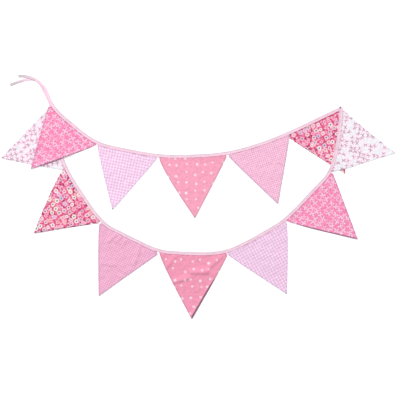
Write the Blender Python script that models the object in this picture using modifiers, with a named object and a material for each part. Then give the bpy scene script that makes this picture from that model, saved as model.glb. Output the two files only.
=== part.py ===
"""Fabric bunting: twelve triangular pennants in one folded bias tape, with a tie at each end.

The bunting lies flat on a surface and is laid out as seen from above, X to the right, Y up the
layout and Z away from the surface. The tape runs from its first tie along the top, folds over on
itself at the upper right and comes back along the bottom to its second tie. Five pennants hang
from the outward run and seven from the return run. Layout tables are in millimetres, as
drawn on one sheet; everything else is in metres.
"""

import collections
import math

import bmesh
import bpy
import numpy as np
from mathutils import Vector

MM = 0.001
UP = Vector((0.0, 0.0, 1.0))
NAME = "fabric_bunting"

# Cloth
CLEARANCE = 0.3 * MM
PENNANT_THICK = 1.0 * MM
PENNANT_COLUMNS = 13
TIP_WIDTH = 3.0 * MM

# A side reaches its spread this far below the tape, and its bow is fullest early on the way down
SPREAD_REACH = 8.0 * MM
BOW_SKEW = 0.58

# Tape: two layers joined by a spine fold, open along the mouth that holds the pennants
TAPE_WIDTH = 9.5 * MM
TAPE_LAYER = 1.0 * MM
TAPE_SLOT = PENNANT_THICK + 2 * CLEARANCE
TAPE_THICK = 2 * TAPE_LAYER + TAPE_SLOT
SPINE_ROUND = 0.8 * MM
SEAM_DEPTH = 7.5 * MM

# Ties: the same tape pressed nearly closed, and a little narrower
TIE_WIDTH = 8.0 * MM
TIE_SLOT = 0.4 * MM
TIE_THICK = 2 * TAPE_LAYER + TIE_SLOT
TIE_BLEND = 18.0 * MM
TIE_STEP = 9.0 * MM

# Where the tape folds over on itself
FOLD_GAP = 0.6 * MM
FOLD_STEPS = 6

# How cloth lies over what is under it
REST_GAP = 0.5 * MM
OVER_GAP = 0.6 * MM
OVER_MARGIN = 15.0 * MM
OVER_RUN = 26.0 * MM
SEAM_DROP_RUN = 22.0 * MM
TIP_RISE_FROM = 0.65

SPLINE_STEPS = 24
TANGENT_REACH = 1.5 * MM

# The middle of the laid-out bunting in the tables below, in millimetres, which becomes the origin
MIDDLE_X = 3.06
MIDDLE_Y = -0.13

# Heights of the tape's underside where it lies on something
ON_TIE = TIE_THICK + REST_GAP
ON_TAPE = TAPE_THICK + REST_GAP
ON_FOLD = TAPE_THICK + FOLD_GAP
ON_PENNANT = PENNANT_THICK + OVER_GAP

# One row for each place that the middle of the tape passes: x and y in millimetres, and the
# height of its underside above the surface in metres
Stop = collections.namedtuple("Stop", "x y rise")

OUTWARD_RUN = (
    Stop(-495.0, 333.5, 0.0),
    Stop(-489.5, 333.9, 0.0),
    Stop(-467.5, 331.5, ON_TIE),
    Stop(-450.5, 325.5, ON_TIE),
    Stop(-438.5, 318.5, ON_TIE),
    Stop(-429.0, 309.0, ON_TIE),
    Stop(-419.8, 297.4, ON_TIE),
    Stop(-413.6, 283.9, ON_TIE),
    Stop(-407.3, 269.5, ON_TAPE),
    Stop(-401.5, 256.5, ON_TAPE),
    Stop(-388.1, 238.2, ON_TAPE),
    Stop(-344.6, 198.9, 0.0),
    Stop(-300.3, 164.1, 0.0),
    Stop(-276.3, 150.5, 0.0),
    Stop(-187.0, 127.0, 0.0),
    Stop(-97.5, 113.0, 0.0),
    Stop(-8.0, 112.6, 0.0),
    Stop(81.7, 120.5, 0.0),
    Stop(171.2, 143.8, 0.0),
    Stop(261.1, 179.2, 0.0),
    Stop(349.2, 221.0, 0.0),
    Stop(399.5, 245.0, 0.0),
)

RETURN_RUN = (
    Stop(399.5, 245.0, ON_FOLD),
    Stop(398.0, 227.0, ON_FOLD),
    Stop(395.0, 193.5, ON_PENNANT),
    Stop(388.0, 142.5, ON_PENNANT),
    Stop(379.5, 103.0, ON_PENNANT),
    Stop(373.3, 83.7, ON_PENNANT),
    Stop(363.7, 64.3, 0.0),
    Stop(318.5, 13.1, 0.0),
    Stop(271.6, -36.6, 0.0),
    Stop(234.0, -70.3, 0.0),
    Stop(184.1, -101.1, 0.0),
    Stop(133.4, -128.9, 0.0),
    Stop(87.9, -148.8, 0.0),
    Stop(42.2, -157.2, 0.0),
    Stop(-3.0, -158.0, 0.0),
    Stop(-50.0, -155.9, 0.0),
    Stop(-93.2, -151.8, 0.0),
    Stop(-127.3, -141.4, 0.0),
    Stop(-160.6, -125.8, 0.0),
    Stop(-212.8, -100.1, 0.0),
    Stop(-249.9, -79.3, 0.0),
    Stop(-273.6, -56.1, 0.0),
    Stop(-314.2, -0.2, 0.0),
    Stop(-345.5, 48.2, 0.0),
    Stop(-361.5, 78.0, 0.0),
    Stop(-371.7, 102.5, 0.0),
    Stop(-386.2, 156.6, 0.0),
    Stop(-395.5, 201.0, 0.0),
    Stop(-401.7, 238.0, 0.0),
    Stop(-406.6, 256.2, 0.0),
    Stop(-415.2, 276.4, 0.0),
    Stop(-426.0, 296.6, 0.0),
    Stop(-431.6, 307.7, 0.0),
    Stop(-438.4, 317.6, 0.0),
    Stop(-447.1, 323.4, 0.0),
    Stop(-459.8, 325.2, 0.0),
    Stop(-473.7, 323.3, 0.0),
    Stop(-496.1, 316.9, 0.0),
    Stop(-517.2, 309.1, 0.0),
)

# One row for each pennant, in its order along the tape, in millimetres: where its seam starts
# along its run and how wide it is there, where its tip lies, how far its first and second side
# spread beyond the seam just below the tape and bow out further down, and how far the tip stands
# off the surface
Pennant = collections.namedtuple(
    "Pennant",
    "name print run start width tip_x tip_y first_spread first_bow second_spread second_bow tip_rise",
)

PENNANTS = (
    Pennant("pennant_01_rose", "rose_bows", "outward",
            138.0, 160.5, -459.4, 77.0, 9.0, 1.0, 2.4, 3.0, 1.0),
    Pennant("pennant_02_gingham", "pale_gingham", "outward",
            300.5, 170.0, -234.2, -35.4, 0.6, 2.4, 0.0, 3.0, 1.5),
    Pennant("pennant_03_dots", "pink_dots", "outward",
            476.0, 184.0, -6.0, -58.2, 0.0, 8.4, 2.5, 2.5, 1.0),
    Pennant("pennant_04_check", "fine_check", "outward",
            666.0, 175.5, 223.5, -19.0, 3.8, 2.4, 0.7, 2.8, 2.0),
    Pennant("pennant_05_floral", "crimson_floral", "outward",
            843.5, 155.0, 410.0, 63.7, 9.5, 2.4, 0.0, 0.0, 0.0),
    Pennant("pennant_06_white", "white_bows", "return",
            5.5, 172.0, 547.9, 121.0, 5.0, -4.0, 0.5, 3.0, 1.0),
    Pennant("pennant_07_rose", "rose_bows", "return",
            180.0, 180.0, 444.0, -117.2, 4.8, 0.8, 0.5, 4.2, 1.5),
    Pennant("pennant_08_gingham", "pale_gingham", "return",
            361.5, 184.0, 247.9, -268.5, 0.5, 5.0, 3.0, 2.6, 1.0),
    Pennant("pennant_09_dots", "pink_dots", "return",
            548.0, 183.0, -14.6, -337.4, 5.7, 3.5, 0.0, 5.6, 2.0),
    Pennant("pennant_10_check", "fine_check", "return",
            738.0, 171.5, -271.3, -274.4, 9.0, 0.0, 5.4, 4.0, 1.5),
    Pennant("pennant_11_floral", "crimson_floral", "return",
            915.0, 174.0, -450.9, -100.7, 5.8, -1.0, 0.0, 8.6, 1.0),
    Pennant("pennant_12_white", "white_bows", "return",
            1091.0, 171.0, -541.7, 106.8, 5.0, 3.0, 2.0, 1.5, 1.0),
)

# One row for each crease that shows: its pennant, the ends of its ridge, how wide it is on the left
# of its ridge, where it falls gently, and on the right, where it is steep, and its height, all in
# millimetres
Crease = collections.namedtuple("Crease", "pennant x0 y0 x1 y1 gentle steep height")

CREASES = (
    Crease("pennant_09_dots", -13.0, -210.0, 27.0, -211.0, 9.0, 3.5, 2.0),
    Crease("pennant_09_dots", -61.0, -237.0, -20.0, -225.0, 9.0, 3.5, 1.8),
    Crease("pennant_09_dots", 27.0, -204.0, 68.0, -167.0, 9.0, 4.0, 1.6),
    Crease("pennant_09_dots", -82.0, -195.0, -61.0, -168.0, 8.0, 4.0, 1.4),
    Crease("pennant_10_check", -239.0, -122.0, -223.0, -101.0, 7.0, 3.5, 1.6),
    Crease("pennant_10_check", -223.0, -122.0, -208.0, -105.0, 7.0, 3.5, 1.4),
    Crease("pennant_10_check", -204.0, -134.0, -194.0, -109.0, 8.0, 4.0, 1.0),
    Crease("pennant_10_check", -187.0, -203.0, -160.0, -134.0, 9.0, 5.0, 1.0),
    Crease("pennant_10_check", -262.0, -185.0, -227.0, -190.0, 9.0, 4.0, 1.0),
)

# What a pennant lies over: the run of tape and the pennant beneath it
Overlay = collections.namedtuple("Overlay", "upper run lower")

OVERLAYS = (
    Overlay("pennant_01_rose", "return", "pennant_12_white"),
    Overlay("pennant_06_white", None, "pennant_05_floral"),
)

# Finishes: colour in linear RGB and roughness
Finish = collections.namedtuple("Finish", "red green blue roughness")

FINISHES = {
    "rose_bows": Finish(0.94, 0.38, 0.57, 0.85),
    "pale_gingham": Finish(0.95, 0.66, 0.87, 0.85),
    "pink_dots": Finish(0.94, 0.41, 0.55, 0.85),
    "fine_check": Finish(0.93, 0.52, 0.71, 0.85),
    "crimson_floral": Finish(0.82, 0.38, 0.49, 0.85),
    "white_bows": Finish(0.92, 0.85, 0.91, 0.85),
    "pink_tape": Finish(0.97, 0.70, 0.79, 0.80),
}


def placed(x, y):
    """A place of the layout tables, in metres about the origin."""
    return Vector(((x - MIDDLE_X) * MM, (y - MIDDLE_Y) * MM, 0.0))


def eased(share):
    share = min(max(share, 0.0), 1.0)
    return share * share * (3.0 - 2.0 * share)


def mixed(first, second, share):
    return first + (second - first) * share


class Run:
    """A smooth line through stops, read by the length along it."""

    def __init__(self, stops, hand):
        self.hand = hand
        places = [placed(stop.x, stop.y) for stop in stops]
        points = [places[0]]
        rises = [stops[0].rise]
        for index in range(len(places) - 1):
            for step in range(1, SPLINE_STEPS + 1):
                share = step / SPLINE_STEPS
                points.append(self.between(places, index, share))
                rises.append(mixed(stops[index].rise, stops[index + 1].rise, eased(share)))
        lengths = [0.0]
        for first, second in zip(points, points[1:]):
            lengths.append(lengths[-1] + (second - first).length)
        self.lengths = np.array(lengths)
        self.points = np.array([tuple(point) for point in points])
        self.rises = np.array(rises)
        self.length = lengths[-1]

    @staticmethod
    def between(places, index, share):
        """The point this far between two places, on a cubic with chord-length tangents."""
        here, there = places[index], places[index + 1]
        chord = (there - here).length
        slopes = []
        for middle in (index, index + 1):
            before = places[max(middle - 1, 0)]
            after = places[min(middle + 1, len(places) - 1)]
            at = places[middle]
            back, ahead = (at - before).length, (after - at).length
            if back == 0.0 or ahead == 0.0:
                slopes.append((after - before).normalized())
            else:
                slopes.append(((at - before) * ahead / back + (after - at) * back / ahead)
                              / (back + ahead))
        s2, s3 = share * share, share * share * share
        return (
            here * (2 * s3 - 3 * s2 + 1)
            + slopes[0] * chord * (s3 - 2 * s2 + share)
            + there * (3 * s2 - 2 * s3)
            + slopes[1] * chord * (s3 - s2)
        )

    def at(self, along):
        x = np.interp(along, self.lengths, self.points[:, 0])
        y = np.interp(along, self.lengths, self.points[:, 1])
        return Vector((x, y, 0.0))

    def rise(self, along):
        return float(np.interp(along, self.lengths, self.rises))

    def way(self, along):
        ahead = self.at(min(along + TANGENT_REACH, self.length))
        back = self.at(max(along - TANGENT_REACH, 0.0))
        return (ahead - back).normalized()

    def side(self, along):
        """Unit vector across the tape, towards its mouth."""
        way = self.way(along)
        return Vector((-way.y, way.x, 0.0)) * self.hand


RUNS = {"outward": Run(OUTWARD_RUN, -1.0), "return": Run(RETURN_RUN, 1.0)}
BY_NAME = {pennant.name: pennant for pennant in PENNANTS}


def columns_of(pennant):
    """Lengths along the run at which a pennant's columns meet the tape."""
    return [
        (pennant.start + pennant.width * column / PENNANT_COLUMNS) * MM
        for column in range(PENNANT_COLUMNS + 1)
    ]


def tape_section(share):
    """Points (across, up) of the folded tape about its middle, spine at the negative end."""
    half = mixed(TIE_WIDTH, TAPE_WIDTH, share) / 2
    slot = mixed(TIE_SLOT, TAPE_SLOT, share) / 2
    face = slot + TAPE_LAYER
    return (
        (-half + SPINE_ROUND, -face),
        (half, -face),
        (half, -slot),
        (-half + TAPE_LAYER, -slot),
        (-half + TAPE_LAYER, slot),
        (half, slot),
        (half, face),
        (-half + SPINE_ROUND, face),
        (-half, face - SPINE_ROUND),
        (-half, SPINE_ROUND - face),
    )


def ring(centre, side, normal, share):
    return [centre + side * across + normal * up for across, up in tape_section(share)]


def marks_between(start, end, step):
    """Even marks from start to end, no further apart than the step."""
    count = max(1, math.ceil((end - start) / step))
    return [mixed(start, end, index / count) for index in range(count + 1)]


def seams_of(name):
    """Lengths along a run at which the columns of its pennants meet the tape."""
    return [mark for pennant in PENNANTS if pennant.run == name for mark in columns_of(pennant)]


def open_share(name, mark):
    """1 where the tape is open for the pennants, 0 where it is folded into a tie."""
    seams = seams_of(name)
    into_tie = seams[0] - mark if name == "outward" else mark - seams[-1]
    return 1.0 - eased((into_tie - CLEARANCE) / TIE_BLEND)


def run_rings(name, normal):
    """Rings of one run of tape, between its free end and the fold."""
    run = RUNS[name]
    seams = seams_of(name)
    if name == "outward":
        tie = marks_between(0.0, seams[0], TIE_STEP)
    else:
        tie = marks_between(seams[-1], run.length, TIE_STEP)
    rings = []
    for mark in sorted(set(seams) | set(tie)):
        share = open_share(name, mark)
        middle = run.rise(mark) + TAPE_LAYER + mixed(TIE_SLOT, TAPE_SLOT, share) / 2
        rings.append(ring(run.at(mark) + UP * middle, run.side(mark), normal, share))
    return rings


def fold_rings():
    """Rings round the fold, each in line with the crease, which the tape crosses aslant."""
    outward, back = RUNS["outward"], RUNS["return"]
    corner = outward.at(outward.length)
    way = outward.way(outward.length)
    crease = (way + back.way(0.0)).normalized()
    onward = (way - crease * way.dot(crease)).normalized()
    side = crease / abs(crease.dot(outward.side(outward.length)))
    axis_height = TAPE_THICK + FOLD_GAP / 2
    radius = axis_height - TAPE_THICK / 2
    rings = []
    for step in range(FOLD_STEPS + 1):
        turn = math.pi * step / FOLD_STEPS
        outwards = onward * math.sin(turn) - UP * math.cos(turn)
        rings.append(ring(corner + UP * axis_height + outwards * radius, side, -outwards, 1.0))
    return rings


def loft(rings):
    """A closed mesh through rings of equally many points, capped at both ends."""
    shape = bmesh.new()
    rows = [[shape.verts.new(point) for point in points] for points in rings]
    for row, following in zip(rows, rows[1:]):
        for index, vertex in enumerate(row):
            after = (index + 1) % len(row)
            shape.faces.new((vertex, row[after], following[after], following[index]))
    shape.faces.new(rows[0][::-1])
    shape.faces.new(rows[-1])
    bmesh.ops.recalc_face_normals(shape, faces=shape.faces)
    return shape


def distance_to_segment(point, first, second):
    along = second - first
    share = (point - first).dot(along) / along.length_squared
    return (point - first - along * min(max(share, 0.0), 1.0)).length


def distance_to_run(point, name):
    """Distance from the nearer edge of a run of tape, zero over the tape."""
    run = RUNS[name]
    nearest = np.hypot(run.points[:, 0] - point.x, run.points[:, 1] - point.y).min()
    return max(nearest - TAPE_WIDTH / 2, 0.0)


def distance_to_pennant(point, pennant):
    """Distance from a pennant's outline, zero over the pennant."""
    run = RUNS[pennant.run]
    marks = columns_of(pennant)
    corners = [
        run.at(marks[0]),
        run.at(marks[-1]),
        placed(pennant.tip_x, pennant.tip_y),
    ]
    turns = []
    for first, second in zip(corners, corners[1:] + corners[:1]):
        turns.append((second - first).cross(point - first).z)
    if min(turns) >= 0.0 or max(turns) <= 0.0:
        return 0.0
    sides = zip(corners, corners[1:] + corners[:1])
    return min(distance_to_segment(point, first, second) for first, second in sides)


def lift_over(distance, height):
    """How high cloth lies at this distance from something of this height beneath it."""
    return height * (1.0 - eased((distance - OVER_MARGIN) / OVER_RUN))


def crease_height(crease, point):
    """How far a crease lifts the cloth."""
    first = placed(crease.x0, crease.y0)
    second = placed(crease.x1, crease.y1)
    along = (second - first).normalized()
    reach = (point - first).dot(along)
    beyond = reach - min(max(reach, 0.0), (second - first).length)
    across = along.cross(point - first).z
    width = (crease.gentle if across > 0.0 else crease.steep) * MM
    away = (across / width) ** 2 + (beyond / (crease.gentle * MM)) ** 2
    return crease.height * MM * math.exp(-away)


def resting_height(pennant, point, down):
    """How high the pennant's underside lies, away from its seam."""
    height = 0.0
    for overlay in OVERLAYS:
        if overlay.upper != pennant.name:
            continue
        below = distance_to_pennant(point, BY_NAME[overlay.lower])
        height = max(height, lift_over(below, ON_PENNANT))
        if overlay.run:
            tape = distance_to_run(point, overlay.run)
            height = max(height, lift_over(tape, TAPE_THICK + OVER_GAP))
    for crease in CREASES:
        if crease.pennant != pennant.name:
            continue
        height += crease_height(crease, point)
    tip_share = (down - TIP_RISE_FROM) / (1.0 - TIP_RISE_FROM)
    return height + pennant.tip_rise * MM * eased(tip_share)


def side_shares(down, reach):
    """How much of a side's spread and of its bow shows at this share of its length."""
    spread = (1.0 - down) * eased(down * reach / SPREAD_REACH)
    skewed = down ** BOW_SKEW
    return spread, 4.0 * skewed * (1.0 - skewed)


def pennant_underside(pennant):
    """An open triangular net of the pennant's underside, from inside the tape to the tip."""
    run = RUNS[pennant.run]
    marks = columns_of(pennant)
    tip = placed(pennant.tip_x, pennant.tip_y)
    mouth = TAPE_WIDTH / 2
    along = (run.at(marks[-1]) - run.at(marks[0])).normalized()
    shape = bmesh.new()

    def seam_point(mark, across):
        slot_floor = run.rise(mark) + TAPE_LAYER + CLEARANCE
        return run.at(mark) + run.side(mark) * across + UP * slot_floor

    rows = [[shape.verts.new(seam_point(mark, mouth - SEAM_DEPTH)) for mark in marks]]
    for row in range(PENNANT_COLUMNS):
        segments = PENNANT_COLUMNS - row
        down = row / (PENNANT_COLUMNS - 1)
        vertices = []
        for column in range(segments + 1):
            share = column / segments
            top = seam_point(mixed(marks[0], marks[-1], share), mouth)
            foot = tip + along * TIP_WIDTH * (share - 0.5)
            reach = (foot - top).length
            point = Vector((mixed(top.x, foot.x, down), mixed(top.y, foot.y, down), 0.0))
            spread, bow = side_shares(down, reach)
            first = pennant.first_spread * spread + pennant.first_bow * bow
            second = pennant.second_spread * spread + pennant.second_bow * bow
            point += along * mixed(-first, second, share) * MM
            rest = resting_height(pennant, point, down)
            drop = eased(down * reach / SEAM_DROP_RUN)
            vertices.append(shape.verts.new(point + UP * mixed(top.z, rest, drop)))
        rows.append(vertices)
    for index in range(PENNANT_COLUMNS):
        shape.faces.new((rows[0][index], rows[0][index + 1], rows[1][index + 1], rows[1][index]))
    for row, following in zip(rows[1:], rows[2:]):
        for index in range(len(row) - 1):
            shape.faces.new((row[index], row[index + 1], following[min(index, len(following) - 1)]))
            if index + 1 < len(row) - 1:
                shape.faces.new((row[index + 1], following[index + 1], following[index]))
    shape.normal_update()
    if sum(face.normal.z for face in shape.faces) < 0.0:
        bmesh.ops.reverse_faces(shape, faces=shape.faces)
    return shape


def material_for(finish_name):
    found = bpy.data.materials.get(finish_name)
    if found:
        return found
    finish = FINISHES[finish_name]
    material = bpy.data.materials.new(finish_name)
    material.use_nodes = True
    shader = material.node_tree.nodes["Principled BSDF"]
    shader.inputs["Base Color"].default_value = (finish.red, finish.green, finish.blue, 1.0)
    shader.inputs["Roughness"].default_value = finish.roughness
    shader.inputs["Metallic"].default_value = 0.0
    return material


def object_from(shape, name, finish_name, collection):
    mesh = bpy.data.meshes.new(name)
    shape.to_mesh(mesh)
    shape.free()
    mesh.materials.append(material_for(finish_name))
    made = bpy.data.objects.new(name, mesh)
    collection.objects.link(made)
    return made


def make_tape(collection):
    """The folded tape in one piece, from the free end of one tie to that of the other."""
    rings = run_rings("outward", UP) + fold_rings() + run_rings("return", -UP)
    return object_from(loft(rings), "tape", "pink_tape", collection)


def make_pennant(pennant, collection):
    """A pennant's two sewn layers as one sheet, thickened upwards from its underside."""
    made = object_from(pennant_underside(pennant), pennant.name, pennant.print, collection)
    thick = made.modifiers.new("cloth thickness", "SOLIDIFY")
    thick.thickness = PENNANT_THICK
    thick.offset = 1.0
    return made


def clear_scene():
    for found in list(bpy.data.objects):
        bpy.data.objects.remove(found, do_unlink=True)


def main():
    clear_scene()
    collection = bpy.data.collections.new(NAME)
    bpy.context.scene.collection.children.link(collection)
    make_tape(collection)
    for pennant in PENNANTS:
        make_pennant(pennant, collection)


main()
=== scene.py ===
"""The looks of a fabric bunting: twelve printed pennants sewn into one folded bias tape.

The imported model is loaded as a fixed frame, in metres, with X to the right of the layout, Y up it
and Z away from the surface it lies on. The layout tables repeat those of the model's source. Each
cloth piece is built again at a finer size, with its seams, and takes its model node's place.
"""

import collections
import math

import bmesh
import bpy
import numpy as np
from bpy.props import FloatProperty, FloatVectorProperty, PointerProperty
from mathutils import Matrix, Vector, noise


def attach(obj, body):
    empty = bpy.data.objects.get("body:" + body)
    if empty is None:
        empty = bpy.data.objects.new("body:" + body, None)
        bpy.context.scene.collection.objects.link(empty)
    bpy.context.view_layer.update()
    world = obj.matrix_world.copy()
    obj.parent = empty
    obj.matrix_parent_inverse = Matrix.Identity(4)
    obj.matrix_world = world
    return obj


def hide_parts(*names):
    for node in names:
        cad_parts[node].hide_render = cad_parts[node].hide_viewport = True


bl_info = {
    "name": "Fabric Bunting",
    "version": (1, 0, 0),
    "blender": (4, 5, 0),
    "location": "View3D > Sidebar > Bunting",
    "description": "Builds a fabric bunting's printed pennants, folded tape, stitching and stage",
    "category": "Object",
}

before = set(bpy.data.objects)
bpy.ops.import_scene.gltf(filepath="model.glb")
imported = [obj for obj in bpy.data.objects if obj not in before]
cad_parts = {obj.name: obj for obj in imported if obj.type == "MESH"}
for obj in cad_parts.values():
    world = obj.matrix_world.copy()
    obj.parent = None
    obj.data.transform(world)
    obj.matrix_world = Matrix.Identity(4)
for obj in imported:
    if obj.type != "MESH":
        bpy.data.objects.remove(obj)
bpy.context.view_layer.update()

MM = 0.001
UP = Vector((0.0, 0.0, 1.0))
FULL_TURN = 2.0 * math.pi

# The middle of the laid-out bunting in the layout tables, in millimetres
MIDDLE_X = 3.06
MIDDLE_Y = -0.13

# Shape shared with the model's source
SEAM_DEPTH = 7.5 * MM
TIP_WIDTH = 3.0 * MM
SPREAD_REACH = 8.0 * MM
BOW_SKEW = 0.58
TIE_BLEND = 18.0 * MM
OVER_MARGIN = 15.0 * MM
OVER_RUN = 26.0 * MM
SEAM_DROP_RUN = 22.0 * MM
TIP_RISE_FROM = 0.65
CREASE_FADE = 6.0 * MM
SPLINE_STEPS = 24
TANGENT_REACH = 1.5 * MM

# A curl's profile peaks at its height with this factor. It comes in and goes out over one part in
# this many of the way down.
CURL_PEAK = 6.75
CURL_IN = 5.0
CURL_OUT = 12.0

# The cloth's unevenness: how many broad and narrow waves there are to the metre, how much each
# adds, and how far apart in the noise they are read, the two and one pennant from the next
BROAD_WAVES = 14.0
NARROW_WAVES = 37.0
BROAD_SHARE = 0.75
NARROW_SHARE = 0.3
NARROW_PLACE = 9.0
PENNANT_PLACE = 3.7

# The puckers below the seam: how many there are to the metre, along it and down from it, and how
# far down they are full and gone
PUCKER_WAVES = 75.0
PUCKER_WAVES_DOWN = 20.0
PUCKER_FULL = 3.0 * MM
PUCKER_GONE = 26.0 * MM

# The turned-in allowance ends in a step that starts at the first of these shares of its width and
# takes the second, and it is pressed flat this near the edge
STEP_FROM = 0.85
STEP_OVER = 0.3
PRESSED_FLAT = 2.0 * MM

# The tape: how far its rounded spine reaches, how deep the stitches draw it in as a share of a
# layer, how far on each side of them, and how much its middle swells as a share of a layer
SPINE_REACH = 1.3 * MM
DRAWN_IN = 0.35
DRAWN_REACH = 0.6 * MM
SWELL = 0.1

# How far the tape sways from its line, how many waves there are to the metre, and where in the
# noise they are read, apart for each run
SWAY = 0.25 * MM
SWAY_WAVES = 23.0
SWAY_APART = 5.0
SWAY_LEVEL = 2.0

# How finely the cloth is divided. Edge marks are in millimetres from each side of a row, and are
# squeezed together in a row that is narrower than twice their reach.
TAPE_STEP = 4.0 * MM
FOLD_STEPS = 12
PENNANT_ROWS = 90
INSERT_ROWS = 3
INNER_COLUMNS = 60
EDGE_MARKS = (0.0, 0.1, 0.3, 0.7, 1.4, 2.8, 4.4, 5.4, 6.2, 7.0, 8.4)
EDGE_MARKS_REACH = 12.0
ARC_STEPS = 5
ROW_CROWDING = 1.25
THREAD_SIDES = 6

# UV maps: the cloth's own grain in metres, the distances from its edge and from its tip or end,
# and how much painted shade its turned side or the tape's fold takes, with the distance from the
# tape's mouth, below which painted shade lies
GRAIN_MAP = "grain"
EDGE_MAP = "edge"
SHADE_MAP = "turn"
FAR_OFF = 1.0

# How dark the painted shade at the corner of the fold is and how far it reaches, and how far a tie
# counts as being from the tape's spine, so that no painted shade line shows on it
FOLD_SHADE = 0.6
FOLD_REACH = 9.0 * MM
TIE_PLAIN = 9.0 * MM

# How flat the thread lies, and how deep the stitches under the tape are pressed in, as a share of
# the thread's thickness
THREAD_FLAT = 0.7
UNDER_SUNK = 0.6

# One row for each ring of a stitch: how far along it is, its girth, and how far it stands out of
# the cloth, all as shares
StitchRing = collections.namedtuple("StitchRing", "along girth rise")

STITCH_RINGS = (
    StitchRing(0.0, 0.25, -0.35),
    StitchRing(0.2, 0.9, 0.1),
    StitchRing(0.5, 1.0, 0.22),
    StitchRing(0.8, 0.9, 0.1),
    StitchRing(1.0, 0.25, -0.35),
)

# What the tape's underside lies on, from the surface up
FLOOR, TIE, TAPE, FOLD, PENNANT = range(5)

# One row for each place that the middle of the tape passes, in millimetres. It lies on the floor
# where its row names nothing else.
Stop = collections.namedtuple("Stop", "x y lies_on", defaults=(FLOOR,))

OUTWARD_RUN = (
    Stop(-495.0, 333.5),
    Stop(-489.5, 333.9),
    Stop(-467.5, 331.5, TIE),
    Stop(-450.5, 325.5, TIE),
    Stop(-438.5, 318.5, TIE),
    Stop(-429.0, 309.0, TIE),
    Stop(-419.8, 297.4, TIE),
    Stop(-413.6, 283.9, TIE),
    Stop(-407.3, 269.5, TAPE),
    Stop(-401.5, 256.5, TAPE),
    Stop(-388.1, 238.2, TAPE),
    Stop(-344.6, 198.9),
    Stop(-300.3, 164.1),
    Stop(-276.3, 150.5),
    Stop(-187.0, 127.0),
    Stop(-97.5, 113.0),
    Stop(-8.0, 112.6),
    Stop(81.7, 120.5),
    Stop(171.2, 143.8),
    Stop(261.1, 179.2),
    Stop(349.2, 221.0),
    Stop(399.5, 245.0),
)

RETURN_RUN = (
    Stop(399.5, 245.0, FOLD),
    Stop(398.0, 227.0, FOLD),
    Stop(395.0, 193.5, PENNANT),
    Stop(388.0, 142.5, PENNANT),
    Stop(379.5, 103.0, PENNANT),
    Stop(373.3, 83.7, PENNANT),
    Stop(363.7, 64.3),
    Stop(318.5, 13.1),
    Stop(271.6, -36.6),
    Stop(234.0, -70.3),
    Stop(184.1, -101.1),
    Stop(133.4, -128.9),
    Stop(87.9, -148.8),
    Stop(42.2, -157.2),
    Stop(-3.0, -158.0),
    Stop(-50.0, -155.9),
    Stop(-93.2, -151.8),
    Stop(-127.3, -141.4),
    Stop(-160.6, -125.8),
    Stop(-212.8, -100.1),
    Stop(-249.9, -79.3),
    Stop(-273.6, -56.1),
    Stop(-314.2, -0.2),
    Stop(-345.5, 48.2),
    Stop(-361.5, 78.0),
    Stop(-371.7, 102.5),
    Stop(-386.2, 156.6),
    Stop(-395.5, 201.0),
    Stop(-401.7, 238.0),
    Stop(-406.6, 256.2),
    Stop(-415.2, 276.4),
    Stop(-426.0, 296.6),
    Stop(-431.6, 307.7),
    Stop(-438.4, 317.6),
    Stop(-447.1, 323.4),
    Stop(-459.8, 325.2),
    Stop(-473.7, 323.3),
    Stop(-496.1, 316.9),
    Stop(-517.2, 309.1),
)

# One row for each pennant, in its order along the tape, in millimetres: where its seam starts
# along its run and how wide it is there, where its tip lies, how far its first and second side
# spread beyond the seam just below the tape and bow out further down, how far the tip stands off
# the surface, its share of the cloth's unevenness, and how much painted shade deepens its colours
Pennant = collections.namedtuple(
    "Pennant",
    "name print run start width tip_x tip_y first_spread first_bow second_spread second_bow"
    " tip_rise uneven deeper",
)

PENNANTS = (
    Pennant("pennant_01_rose", "rose_bows", "outward",
            138.0, 160.5, -459.4, 77.0, 9.0, 1.0, 2.4, 3.0, 1.0, 0.7, 0.4),
    Pennant("pennant_02_gingham", "pale_gingham", "outward",
            300.5, 170.0, -234.2, -35.4, 0.6, 2.4, 0.0, 3.0, 1.5, 1.0, 0.3),
    Pennant("pennant_03_dots", "pink_dots", "outward",
            476.0, 184.0, -6.0, -58.2, 0.0, 8.4, 2.5, 2.5, 1.0, 1.0, 0.0),
    Pennant("pennant_04_check", "fine_check", "outward",
            666.0, 175.5, 223.5, -19.0, 3.8, 2.4, 0.7, 2.8, 2.0, 1.0, 0.0),
    Pennant("pennant_05_floral", "crimson_floral", "outward",
            843.5, 155.0, 410.0, 63.7, 9.5, 2.4, 0.0, 0.0, 0.0, 0.1, 0.0),
    Pennant("pennant_06_white", "white_bows", "return",
            5.5, 172.0, 547.9, 121.0, 5.0, -4.0, 0.5, 3.0, 1.0, 0.7, 0.3),
    Pennant("pennant_07_rose", "rose_bows", "return",
            180.0, 180.0, 444.0, -117.2, 4.8, 0.8, 0.5, 4.2, 1.5, 1.3, 0.0),
    Pennant("pennant_08_gingham", "pale_gingham", "return",
            361.5, 184.0, 247.9, -268.5, 0.5, 5.0, 3.0, 2.6, 1.0, 1.4, 0.5),
    Pennant("pennant_09_dots", "pink_dots", "return",
            548.0, 183.0, -14.6, -337.4, 5.7, 3.5, 0.0, 5.6, 2.0, 1.5, 0.9),
    Pennant("pennant_10_check", "fine_check", "return",
            738.0, 171.5, -271.3, -274.4, 9.0, 0.0, 5.4, 4.0, 1.5, 1.0, 1.0),
    Pennant("pennant_11_floral", "crimson_floral", "return",
            915.0, 174.0, -450.9, -100.7, 5.8, -1.0, 0.0, 8.6, 1.0, 1.0, 0.0),
    Pennant("pennant_12_white", "white_bows", "return",
            1091.0, 171.0, -541.7, 106.8, 5.0, 3.0, 2.0, 1.5, 1.0, 0.1, 0.7),
)

# One row for each crease that shows: its pennant, the ends of its ridge, how wide it is on the left
# of its ridge, where it falls gently, and on the right, where it is steep, and its height, all in
# millimetres
Crease = collections.namedtuple("Crease", "pennant x0 y0 x1 y1 gentle steep height")

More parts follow.
